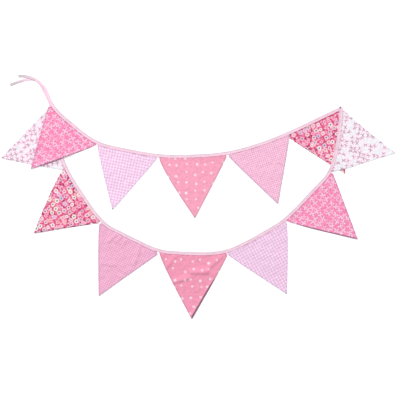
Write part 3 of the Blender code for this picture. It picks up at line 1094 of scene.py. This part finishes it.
def weave_group():
    """Plain weave: its height in metres, and how light each spot of yarn is, with painted light on
    the yarns' crowns and painted shade between them.
    """
    graph, given, result = new_group(
        "plain_weave", ("Grain",), ("Thread pitch",), ("Height", "Lightness")
    )
    grain = given["Grain"]
    turns = graph.scaled(grain, graph.maths("DIVIDE", FULL_TURN, given["Thread pitch"]))
    x, y = graph.parts(turns)
    over = graph.maths("MULTIPLY", graph.maths("SINE", x), graph.maths("SINE", y))
    fine = graph.maths("MULTIPLY", over, WEAVE_HEIGHT)
    crumple = graph.maths("MULTIPLY", graph.patches(grain, CRUMPLE_SCALE, 3.0), CRUMPLE_HEIGHT)
    graph.put(result["Height"], graph.maths("ADD", fine, crumple))
    light = graph.maths("MULTIPLY_ADD", over, WEAVE_LIGHT, WEAVE_BASE)
    light = graph.maths("MULTIPLY_ADD", graph.patches(grain, TONE_SCALE, 1.0), TONE_LIGHT, light)
    light = graph.maths("MULTIPLY_ADD", graph.patches(grain, SLUB_SCALE, 2.0), SLUB_LIGHT, light)
    graph.put(result["Lightness"], light)
    return graph.tree


# Where the edge of a woven stripe starts and ends, as shares of a square
STRIPE_FROM = 0.44
STRIPE_TO = 0.56


def check_group():
    """Woven checks: 0 on white squares, 1 on full colour and a half where a stripe crosses."""
    graph, given, result = new_group("woven_check", ("Grain",), ("Square",), ("Share",))
    stripes = []
    for place in graph.parts(given["Grain"]):
        wave = graph.maths("DIVIDE", graph.maths("PINGPONG", place, given["Square"]),
                           given["Square"])
        stripes.append(graph.softened(wave, STRIPE_FROM, STRIPE_TO, 0.0, 0.5))
    graph.put(result["Share"], graph.maths("ADD", stripes[0], stripes[1]))
    return graph.tree


def scatter_group():
    """Marks scattered over the cloth: where each spot is from its own mark, turned at random."""
    graph, given, result = new_group(
        "scattered_marks", ("Grain",), ("Pitch", "Looseness"), ("Pick", "Other pick"),
        pointing=("Offset",),
    )
    share = graph.scaled(given["Grain"], graph.maths("DIVIDE", 1.0, given["Pitch"]))
    cells = graph.add("ShaderNodeTexVoronoi", {"Vector": share, "Scale": 1.0,
                                               "Randomness": given["Looseness"]},
                      voronoi_dimensions="2D")
    apart = graph.vectors("SUBTRACT", share, cells.outputs["Position"])
    picks = graph.add("ShaderNodeSeparateColor", {"Color": cells.outputs["Color"]})
    angle = graph.maths("MULTIPLY", picks.outputs["Red"], FULL_TURN)
    turned = graph.add("ShaderNodeVectorRotate",
                       {"Vector": graph.scaled(apart, given["Pitch"]), "Angle": angle},
                       rotation_type="Z_AXIS")
    graph.put(result["Offset"], turned.outputs["Vector"])
    graph.put(result["Pick"], picks.outputs["Green"])
    graph.put(result["Other pick"], picks.outputs["Blue"])
    return graph.tree


# The printed shapes that a bow is made of, as shares of its half length: their middles, how far
# they are turned, in degrees, and how long and how wide they are to each side
Spot = collections.namedtuple("Spot", "x y turn long wide")

BOW_LOOP = Spot(0.55, 0.30, 30.0, 0.46, 0.28)
BOW_TAIL = Spot(0.44, -0.46, -50.0, 0.42, 0.21)
BOW_KNOT = Spot(0.0, -0.04, 0.0, 0.20, 0.20)
BOW_SPECKS = (
    Spot(0.10, 0.52, 0.0, 0.28, 0.22),
    Spot(-0.86, -0.14, 0.0, 0.30, 0.22),
    Spot(0.58, -0.14, 0.0, 0.26, 0.16),
)

# Where the soft rim of a printed shape starts and ends, as the square of its distance
RIM_FROM = 0.6
RIM_TO = 1.3


def ellipse(graph, x, y, spot, fullness=1.0):
    """1 inside an ellipse and 0 outside it, with a wider soft edge the fuller it is."""
    x = graph.maths("SUBTRACT", x, spot.x)
    y = graph.maths("SUBTRACT", y, spot.y)
    cosine, sine = math.cos(math.radians(spot.turn)), math.sin(math.radians(spot.turn))
    across = graph.maths("ADD", graph.maths("MULTIPLY", x, cosine / spot.long),
                         graph.maths("MULTIPLY", y, sine / spot.long))
    upward = graph.maths("SUBTRACT", graph.maths("MULTIPLY", y, cosine / spot.wide),
                         graph.maths("MULTIPLY", x, sine / spot.wide))
    reach = graph.maths("ADD", graph.maths("POWER", graph.maths("ABSOLUTE", across), 2.0),
                        graph.maths("POWER", graph.maths("ABSOLUTE", upward), 2.0))
    return graph.softened(reach, RIM_FROM, graph.maths("MULTIPLY", fullness, RIM_TO), 1.0, 0.0)


def bow_group():
    """A printed bow of two loops and two tails, with dark specks beside its knot."""
    graph, given, result = new_group(
        "printed_bow", ("Offset",), ("Half length", "Fullness"), ("Mark", "Shade")
    )
    x, y = graph.parts(given["Offset"])
    aside = graph.maths("DIVIDE", x, given["Half length"])
    x = graph.maths("ABSOLUTE", aside)
    y = graph.maths("DIVIDE", y, given["Half length"])
    loop = ellipse(graph, x, y, BOW_LOOP, given["Fullness"])
    tail = ellipse(graph, x, y, BOW_TAIL, given["Fullness"])
    graph.put(result["Mark"], graph.largest(loop, tail, ellipse(graph, x, y, BOW_KNOT)))
    specks = [ellipse(graph, aside, y, spot) for spot in BOW_SPECKS]
    graph.put(result["Shade"], graph.largest(*specks))
    return graph.tree


# A printed flower: how many petals it has and how far they stand out, then where its petals, its
# disc and the lines between its petals fade, as shares of its radius or of the petals' wave
PETAL_COUNT = 5.0
PETAL_SWELL = 0.05
PETAL_RIM = (0.66, 1.0)
DISC_RIM = (0.30, 0.40)
LINE_BAND = (-0.98, -0.75)
LINE_START = (0.35, 0.5)


def flower_group():
    """A printed flower of five petals round a disc, with the lines between its petals."""
    graph, given, result = new_group(
        "printed_flower", ("Offset",), ("Radius",), ("Petals", "Disc", "Lines")
    )
    x, y = graph.parts(given["Offset"])
    reach = graph.maths("DIVIDE", graph.distance(given["Offset"]), given["Radius"])
    turns = graph.maths("MULTIPLY", graph.maths("ARCTAN2", y, x), PETAL_COUNT)
    lobes = graph.maths("COSINE", turns)
    rim = graph.maths("SUBTRACT", reach, graph.maths("MULTIPLY", lobes, PETAL_SWELL))
    graph.put(result["Petals"], graph.softened(rim, *PETAL_RIM, 1.0, 0.0))
    graph.put(result["Disc"], graph.softened(reach, *DISC_RIM, 1.0, 0.0))
    between = graph.softened(lobes, *LINE_BAND, 1.0, 0.0)
    outside = graph.softened(reach, *LINE_START, 0.0, 1.0)
    graph.put(result["Lines"], graph.maths("MULTIPLY", between, outside))
    return graph.tree


# The painted shade line along a pressed edge: its width from full to gone. Then the painted shade
# of a
# turned edge: how wide it is at least and how much wider when wholly turned, how much of it is
# full, how dark it is, and how far a side turns before that shows. Then the patches of painted
# shade below
# the seam, where it gathers: their scale, where they fade, how dark they are, and how far below the
# tape they are full and gone.
LINE_WIDTH = (0.4 * MM, 3.2 * MM)
ROLL_LEAST = 0.6 * MM
ROLL_WIDTH = 8.5 * MM
ROLL_FULL = 0.4
ROLL_SHADE = 0.85
ROLL_SHOWS = 0.6
MOUTH_SCALE = 90.0
MOUTH_RIM = (0.45, 0.62)
MOUTH_SHADE = (0.06, 0.34)
MOUTH_REACH = (1.0 * MM, 5.5 * MM)


def edge_group():
    """How much painted shade greys the cloth along its pressed edges and tips, and darkens its
    turned sides, the tape's fold and the cloth just below the tape.
    """
    graph, given, result = new_group(
        "painted_edge_shade", ("Grain", "Edge", "Turn"),
        ("Line at", "Line depth", "Tip reach", "Tip depth"), ("Line", "Dark"),
    )
    from_edge, from_tip = graph.parts(given["Edge"])
    turned, below = graph.parts(given["Turn"])
    from_line = graph.maths("ABSOLUTE", graph.maths("SUBTRACT", from_edge, given["Line at"]))
    line = graph.softened(from_line, *LINE_WIDTH, given["Line depth"], 0.0)
    tip = graph.softened(from_tip, 0.0, given["Tip reach"], given["Tip depth"], 0.0)
    graph.put(result["Line"], graph.largest(line, tip))
    reach = graph.maths("MULTIPLY_ADD", turned, ROLL_WIDTH, ROLL_LEAST)
    full = graph.maths("MULTIPLY", reach, ROLL_FULL)
    rolled_shade = graph.softened(from_edge, full, reach, ROLL_SHADE, 0.0)
    shows = graph.softened(turned, 0.0, ROLL_SHOWS, 0.0, 1.0)
    rolled_shade = graph.maths("MULTIPLY", rolled_shade, shows)
    patches = graph.patches(given["Grain"], MOUTH_SCALE, 1.0)
    gather_shade = graph.softened(patches, *MOUTH_RIM, *MOUTH_SHADE)
    near = graph.softened(below, *MOUTH_REACH, 1.0, 0.0)
    graph.put(result["Dark"], graph.largest(rolled_shade, graph.maths("MULTIPLY", gather_shade, near)))
    return graph.tree


GROUPS = {
    "plain_weave": weave_group,
    "woven_check": check_group,
    "scattered_marks": scatter_group,
    "printed_bow": bow_group,
    "printed_flower": flower_group,
    "painted_edge_shade": edge_group,
}


def picked(graph, pick, palette):
    """One colour of a palette of (from, red, green, blue) for a number from 0 to 1."""
    ramp = graph.add("ShaderNodeValToRGB", {"Fac": pick})
    ramp.color_ramp.interpolation = "CONSTANT"
    points = ramp.color_ramp.elements
    while len(points) < len(palette):
        points.new(1.0)
    for point, (start, red, green, blue) in zip(points, palette):
        point.position = start
        point.color = (red, green, blue, 1.0)
    return ramp.outputs["Color"]


# How loosely each print's marks are scattered, from 0 to 1
BOW_LOOSE = 0.45
DOT_LOOSE = 0.5
BLOSSOM_LOOSE = 0.5
FLOWER_LOOSE = 0.42


def bows_on(graph, ground, pitch, half_length, fullness, core, bows, darks):
    """Bows scattered over a ground, each with its specks or, instead, a dark core of this share."""
    marks = graph.scattered(graph.coordinates(GRAIN_MAP), pitch, BOW_LOOSE)
    shape = graph.group("printed_bow", {
        "Offset": marks["Offset"], "Half length": half_length, "Fullness": fullness})
    dark = shape["Shade"]
    if core:
        dark = graph.group("printed_bow", {
            "Offset": marks["Offset"], "Half length": core * half_length,
            "Fullness": 1.0})["Mark"]
    printed = graph.blend(shape["Mark"], ground, picked(graph, marks["Pick"], bows))
    return graph.blend(dark, printed, picked(graph, marks["Pick"], darks))


# Palettes for the prints' marks, as rows of where the colour starts, red, green and blue
ROSE_BOWS = (
    (0.0, 0.87, 0.54, 0.68),
    (0.7, 0.85, 0.44, 0.59),
)

ROSE_SPECKS = (
    (0.0, 0.48, 0.22, 0.34),
    (0.5, 0.62, 0.22, 0.36),
    (0.8, 0.82, 0.16, 0.34),
)


# The rose cloth's paler patches: their scale, where they fade and how strong they are. Then how
# full its bows are.
CLOUD_SCALE = 95.0
CLOUD_RIM = (0.42, 0.66)
CLOUD_DEPTH = 0.55
ROSE_FULLNESS = 1.7


def rose_print(graph, colours, sizes):
    patches = graph.patches(graph.coordinates(GRAIN_MAP), CLOUD_SCALE, 2.0)
    cloudy = graph.softened(patches, *CLOUD_RIM, 0.0, CLOUD_DEPTH)
    ground = graph.blend(cloudy, colours.rose, colours.rose_cloud)
    return bows_on(graph, ground, sizes.bow_pitch, sizes.bow_half, ROSE_FULLNESS, 0.0,
                   ROSE_BOWS, ROSE_SPECKS)


WHITE_BOWS = (
    (0.0, 0.80, 0.49, 0.62),
    (0.38, 0.68, 0.42, 0.54),
    (0.72, 0.74, 0.83, 0.85),
)

WHITE_CORES = (
    (0.0, 0.46, 0.24, 0.37),
    (0.38, 0.34, 0.22, 0.30),
    (0.72, 0.70, 0.80, 0.84),
)


# The dark core of a bow on the white cloth, as a share of the bow
WHITE_CORE = 0.52


def white_print(graph, colours, sizes):
    return bows_on(graph, colours.white, sizes.small_bow_pitch, sizes.small_bow_half, 1.0,
                   WHITE_CORE, WHITE_BOWS, WHITE_CORES)


def checks(graph, square, pale, full):
    """Woven checks of two colours, with squares of this size."""
    check = graph.group("woven_check", {
        "Grain": graph.coordinates(GRAIN_MAP), "Square": square})
    return graph.blend(check["Share"], pale, full)


def gingham_print(graph, colours, sizes):
    return checks(graph, sizes.gingham_square, colours.gingham_white, colours.gingham_pink)


def fine_print(graph, colours, sizes):
    return checks(graph, sizes.fine_square, colours.check_white, colours.check_pink)


# Dots: how much their sizes and their strengths vary and what they are at least, as shares, and
# where their soft rim starts and ends, as shares of the radius
DOT_SIZES = (0.35, 0.75)
DOT_STRENGTHS = (0.4, 0.6)
DOT_RIM = (0.65, 1.15)


def dots_print(graph, colours, sizes):
    marks = graph.scattered(graph.coordinates(GRAIN_MAP), sizes.dot_pitch, DOT_LOOSE)
    size = graph.maths("MULTIPLY", graph.maths("MULTIPLY_ADD", marks["Pick"], *DOT_SIZES),
                       sizes.dot_radius)
    reach = graph.maths("DIVIDE", graph.distance(marks["Offset"]), size)
    full = graph.maths("MULTIPLY_ADD", marks["Other pick"], *DOT_STRENGTHS)
    return graph.blend(graph.softened(reach, *DOT_RIM, full, 0.0), colours.dots, colours.dot)


PETALS = (
    (0.0, 0.86, 0.56, 0.64),
    (0.28, 0.86, 0.76, 0.66),
    (0.40, 0.86, 0.46, 0.48),
    (0.50, 0.66, 0.50, 0.68),
    (0.57, 0.86, 0.78, 0.80),
    (0.74, 0.84, 0.42, 0.56),
)

DISCS = (
    (0.0, 0.70, 0.14, 0.24),
    (0.32, 0.12, 0.19, 0.25),
    (0.62, 0.64, 0.24, 0.20),
    (0.74, 0.18, 0.28, 0.25),
    (0.88, 0.80, 0.34, 0.44),
)

BLOSSOMS = (
    (0.0, 0.82, 0.34, 0.50),
    (0.42, 0.84, 0.50, 0.62),
    (0.66, 0.74, 0.20, 0.36),
    (0.86, 0.26, 0.03, 0.10),
)


# The two layers of blossoms, as the pitch of each as a share of the blossoms' pitch, and how far it
# is moved along both ways of the grain so that they don't coincide
BLOSSOM_LAYERS = ((1.0, 0.3), (1.2, 0.7))

# How much the flowers' sizes vary and what they are at least, as shares, and how strong the lines
# between the petals are
FLOWER_SIZES = (0.36, 0.74)
PETAL_LINES = 0.22


def floral_print(graph, colours, sizes):
    grain = graph.coordinates(GRAIN_MAP)
    cloth = colours.crimson
    for spacing, shift in BLOSSOM_LAYERS:
        place = graph.vectors("ADD", grain, (shift, shift, 0.0))
        marks = graph.scattered(place, spacing * sizes.blossom_pitch, BLOSSOM_LOOSE)
        blossom = graph.group("printed_flower", {
            "Offset": marks["Offset"], "Radius": sizes.blossom_radius})
        cloth = graph.blend(blossom["Petals"], cloth, picked(graph, marks["Pick"], BLOSSOMS))
    marks = graph.scattered(grain, sizes.flower_pitch, FLOWER_LOOSE)
    size = graph.maths("MULTIPLY", graph.maths("MULTIPLY_ADD", marks["Other pick"], *FLOWER_SIZES),
                       sizes.flower_radius)
    flower = graph.group("printed_flower", {"Offset": marks["Offset"], "Radius": size})
    lines = graph.maths("MULTIPLY", flower["Lines"], PETAL_LINES)
    cloth = graph.blend(flower["Petals"], cloth, picked(graph, marks["Pick"], PETALS))
    cloth = graph.blend(lines, cloth, colours.crimson)
    return graph.blend(flower["Disc"], cloth, picked(graph, marks["Other pick"], DISCS))


def tape_print(graph, colours, sizes):
    return colours.tape


# The painted shade along edges: how far in its line lies and how strong it is, and how far the
# painted shade of a tip or of a free end reaches and how strong it is. The reaches are in
# millimetres.
EdgeShade = collections.namedtuple("EdgeShade", "line_at line_depth tip_reach tip_depth")

FULL_EDGE_SHADE = EdgeShade(3.4, 0.5, 5.0, 0.8)
PALE_EDGE_SHADE = EdgeShade(3.4, 0.25, 5.0, 0.8)
TAPE_EDGE_SHADE = EdgeShade(2.4, 0.6, 75.0, 0.95)
PALE_PRINTS = ("pale_gingham", "white_bows")

# Cotton: how much smoother its lighter yarns are, its roughness, its gloss and its sheen
YARN_SMOOTHER = -0.15
COTTON_ROUGH = 0.98
COTTON_GLOSS = 0.2
COTTON_SHEEN = 0.08

# Thread: the scale of its twist, how much that lightens it, how light it is at least, its roughness
TWIST_SCALE = 1800.0
TWIST_LIGHT = 0.3
THREAD_LEAST = 0.82
THREAD_ROUGH = 0.6

PRINTS = {
    "rose_bows": rose_print,
    "pale_gingham": gingham_print,
    "pink_dots": dots_print,
    "fine_check": fine_print,
    "crimson_floral": floral_print,
    "white_bows": white_print,
    "pink_tape": tape_print,
}


def new_material(name):
    """A material by its name, with its graph and its shader."""
    material = bpy.data.materials.new(name)
    material.use_nodes = True
    return material, Graph(material.node_tree), material.node_tree.nodes["Principled BSDF"]


def cloth_material(owner, name, deeper, tint, edge_shade):
    """A printed cotton with its weave, its soft crumple, and painted shade: deeper on some
    pennants, along its pressed edges and tips, on its turned sides and just below the tape.
    """
    material, graph, shader = new_material(owner + "_finish")
    colours = bpy.context.scene.bunting_colours
    prints = bpy.context.scene.bunting_prints
    grain = graph.coordinates(GRAIN_MAP)
    weave = graph.group("plain_weave", {"Grain": grain, "Thread pitch": prints.thread_pitch})
    edge = graph.group("painted_edge_shade", {
        "Grain": grain, "Edge": graph.coordinates(EDGE_MAP), "Turn": graph.coordinates(SHADE_MAP),
        "Line at": edge_shade.line_at * MM, "Line depth": edge_shade.line_depth,
        "Tip reach": edge_shade.tip_reach * MM, "Tip depth": edge_shade.tip_depth})
    printed = PRINTS[name](graph, colours, prints)
    cloth = graph.blend(1.0, printed, weave["Lightness"], kind="MULTIPLY")
    # Painted shade: a share of the shaded tint, a grey line along the pressed edges and at the tip,
    # and dark on turned sides, at the fold and just below the tape
    cloth = graph.blend(deeper, cloth, colours.deeper, kind="MULTIPLY")
    cloth = graph.blend(edge["Line"], cloth, tint, kind="MULTIPLY")
    cloth = graph.blend(edge["Dark"], cloth, colours.turned)
    rough = graph.maths("MULTIPLY_ADD", weave["Lightness"], YARN_SMOOTHER, COTTON_ROUGH)
    bump = graph.add("ShaderNodeBump", {"Height": weave["Height"], "Strength": 1.0,
                                        "Distance": 1.0})
    graph.fill(shader, {"Base Color": cloth, "Roughness": rough,
                        "Normal": bump.outputs["Normal"], "Specular IOR Level": COTTON_GLOSS,
                        "Sheen Weight": COTTON_SHEEN})
    return material


def thread_material():
    """Pale cotton sewing thread with its twist."""
    material, graph, shader = new_material("thread_finish")
    place = graph.add("ShaderNodeTexCoord").outputs["Object"]
    twist = graph.patches(place, TWIST_SCALE, 1.0, dimensions="3D")
    shade = graph.maths("MULTIPLY_ADD", twist, TWIST_LIGHT, THREAD_LEAST)
    thread = bpy.context.scene.bunting_colours.thread
    graph.fill(shader, {"Base Color": graph.blend(1.0, thread, shade, kind="MULTIPLY"),
                        "Roughness": THREAD_ROUGH})
    return material


class BUNTING_OT_pennants(bpy.types.Operator):
    """Build the twelve printed pennants in the place of their model nodes"""

    bl_idname = "bunting.pennants"
    bl_label = "Build pennants"

    def execute(self, context):
        layout = Layout(context.scene.bunting_sizes)
        tint = context.scene.bunting_colours.edge
        for pennant in PENNANTS:
            edge_shade = PALE_EDGE_SHADE if pennant.print in PALE_PRINTS else FULL_EDGE_SHADE
            material = cloth_material(pennant.name, pennant.print, pennant.deeper, tint, edge_shade)
            made = Sewing(layout, pennant).build(material)
            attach(made, "root")
            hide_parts(pennant.name)
        return {"FINISHED"}


class BUNTING_OT_tape(bpy.types.Operator):
    """Build the folded tape with its two ties, and the stitching along its mouth"""

    bl_idname = "bunting.tape"
    bl_label = "Build tape and stitching"

    def execute(self, context):
        sizes = context.scene.bunting_sizes
        layout = Layout(sizes)
        tint = context.scene.bunting_colours.tape_edge_shade
        material = cloth_material("tape", "pink_tape", 0.0, tint, TAPE_EDGE_SHADE)
        tape = build_tape(layout, material)
        stitching = build_stitching(layout, thread_material())
        for made in (tape, stitching):
            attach(made, "root")
        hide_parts("tape")
        return {"FINISHED"}


# The stage: half the floor's side and how far it lies below the cloth, and the soft light's side
# and place, in metres
FLOOR_REACH = 20.0
FLOOR_DROP = 0.1 * MM
LIGHT_SIDE = 1.8
LIGHT_PLACE = Vector((-1.65, 4.5, 4.5))


class BUNTING_OT_stage(bpy.types.Operator):
    """Lay the plain floor, set the soft light and place the camera straight above"""

    bl_idname = "bunting.stage"
    bl_label = "Set stage"

    def execute(self, context):
        stage = context.scene.bunting_stage
        self.lay_floor(stage)
        self.light(context.scene, stage)
        self.place_camera(context.scene, stage)
        return {"FINISHED"}

    def lay_floor(self, stage):
        shape = bmesh.new()
        bmesh.ops.create_grid(shape, x_segments=1, y_segments=1, size=FLOOR_REACH)
        mesh = bpy.data.meshes.new("floor")
        shape.to_mesh(mesh)
        shape.free()
        material, graph, shader = new_material("floor_finish")
        graph.fill(shader, {"Base Color": stage.floor, "Roughness": 1.0,
                            "Specular IOR Level": 0.0, "Emission Color": stage.floor,
                            "Emission Strength": stage.floor_glow})
        mesh.materials.append(material)
        floor = bpy.data.objects.new("floor", mesh)
        floor.location.z = -FLOOR_DROP
        bpy.context.scene.collection.objects.link(floor)

    def light(self, scene, stage):
        world = bpy.data.worlds.new("room")
        world.use_nodes = True
        back = world.node_tree.nodes["Background"]
        back.inputs["Color"].default_value = (1.0, 1.0, 1.0, 1.0)
        back.inputs["Strength"].default_value = stage.room_light
        scene.world = world
        key = bpy.data.lights.new("key", "AREA")
        key.energy = stage.key_light
        key.size = LIGHT_SIDE
        lamp = bpy.data.objects.new("key", key)
        lamp.location = LIGHT_PLACE
        lamp.rotation_euler = (-LIGHT_PLACE).to_track_quat("-Z", "Y").to_euler()
        scene.collection.objects.link(lamp)

    def place_camera(self, scene, stage):
        lens = bpy.data.cameras.new("camera")
        lens.lens = stage.lens
        camera = bpy.data.objects.new("camera", lens)
        height = stage.view_width / lens.sensor_width * stage.lens
        camera.location = (stage.view_x, stage.view_y, height)
        scene.collection.objects.link(camera)
        scene.camera = camera
        scene.view_settings.view_transform = "Standard"
        scene.view_settings.look = "None"


class BUNTING_PT_panel(bpy.types.Panel):
    """The bunting's sizes, colours and steps"""

    bl_idname = "BUNTING_PT_panel"
    bl_label = "Fabric Bunting"
    bl_space_type = "VIEW_3D"
    bl_region_type = "UI"
    bl_category = "Bunting"

    def draw(self, context):
        column = self.layout.column()
        for kind in OPERATORS:
            column.operator(kind.bl_idname)
        for name in SETTINGS:
            settings = getattr(context.scene, name)
            for field in settings.bl_rna.properties:
                if field.identifier not in ("name", "rna_type"):
                    column.prop(settings, field.identifier)


OPERATORS = (BUNTING_OT_tape, BUNTING_OT_pennants, BUNTING_OT_stage)

SETTINGS = {
    "bunting_sizes": ClothSizes,
    "bunting_prints": PrintSizes,
    "bunting_colours": PrintColours,
    "bunting_stage": StageSettings,
}

CLASSES = tuple(SETTINGS.values()) + OPERATORS + (BUNTING_PT_panel,)


def register():
    for kind in CLASSES:
        bpy.utils.register_class(kind)
    for name, kind in SETTINGS.items():
        setattr(bpy.types.Scene, name, PointerProperty(type=kind))


def unregister():
    for name in SETTINGS:
        delattr(bpy.types.Scene, name)
    for kind in reversed(CLASSES):
        bpy.utils.unregister_class(kind)


def main():
    register()
    bpy.ops.bunting.tape()
    bpy.ops.bunting.pennants()
    bpy.ops.bunting.stage()


if __name__ == "__main__":
    main()
